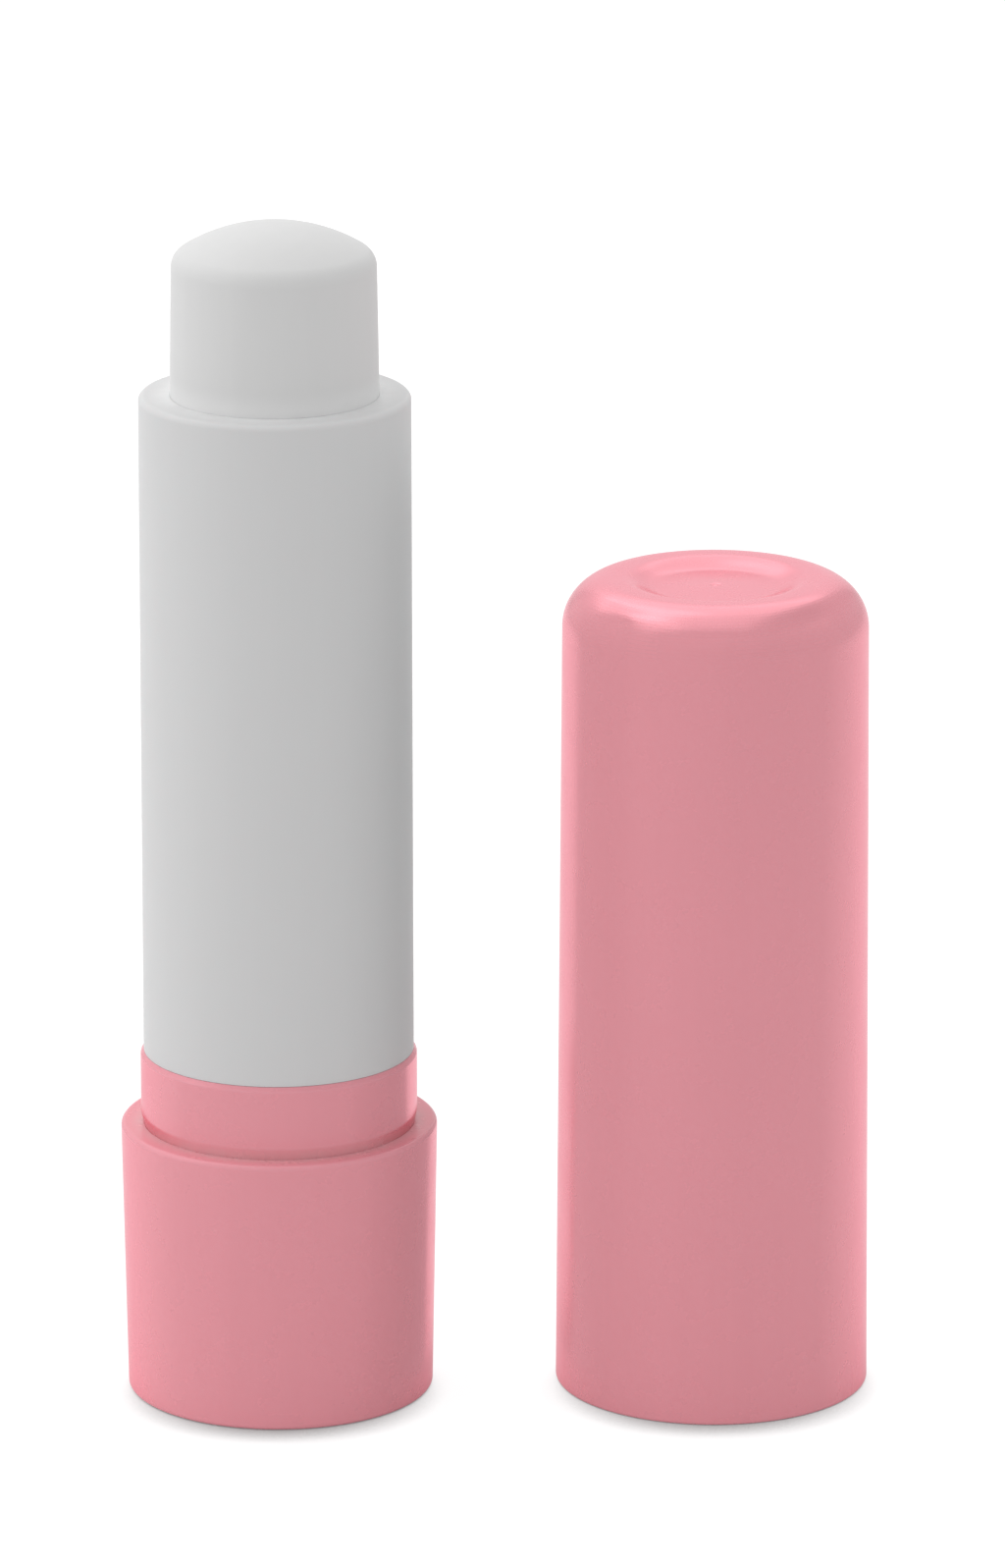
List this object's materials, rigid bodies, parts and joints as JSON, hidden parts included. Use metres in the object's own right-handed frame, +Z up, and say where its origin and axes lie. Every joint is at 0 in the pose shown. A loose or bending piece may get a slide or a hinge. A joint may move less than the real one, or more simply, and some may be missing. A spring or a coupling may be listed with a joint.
{
  "type": "lip balm stick",
  "caption": "Twist-up lip balm stick standing on its turning knob, balm wound partly out of the tube, with its round-shouldered cap taken off and standing beside it.",
  "frame": {"origin": "centre of the knob's flat foot, on the stick's axis, where the stick stands", "axes": "+Z up along the stick, +X towards the cap that stands beside it, +Y away from the picture's viewpoint"},
  "size_m": [0.0469, 0.0209, 0.0747],
  "materials": {
    "pink_plastic": "satin injection moulded plastic, soft pink",
    "white_plastic": "satin injection moulded plastic, white",
    "inner_plastic": "plain moulded natural plastic",
    "balm": "smooth cast white wax"
  },
  "bodies": {
    "barrel_body": {"barrel": "white_plastic"},
    "knob_body": {"knob": "pink_plastic", "collar": "pink_plastic", "lead_screw": "inner_plastic"},
    "carrier_body": {"carrier_cup": "inner_plastic", "balm": "balm"},
    "cap_body": {"cap": "pink_plastic"}
  },
  "joints": [
    {"name": "knob_turn", "type": "hinge", "parent": "barrel_body", "child": "knob_body", "pos_m": [0, 0, 0], "axis": [0, 0, 1], "range_deg": [-1008, 2520]},
    {"name": "balm_lift", "type": "slide", "parent": "barrel_body", "child": "carrier_body", "axis": [0, 0, 1], "range_m": [-0.0112, 0.028]},
    {"name": "cap_lift", "type": "slide", "parent": "barrel_body", "child": "cap_body", "axis": [0, 0, 1], "range_m": [0, 0.08]}
  ],
  "couplings": [
    {"joint": "balm_lift", "follows": "knob_turn", "m_per_rad": 0.00063662}
  ]
}
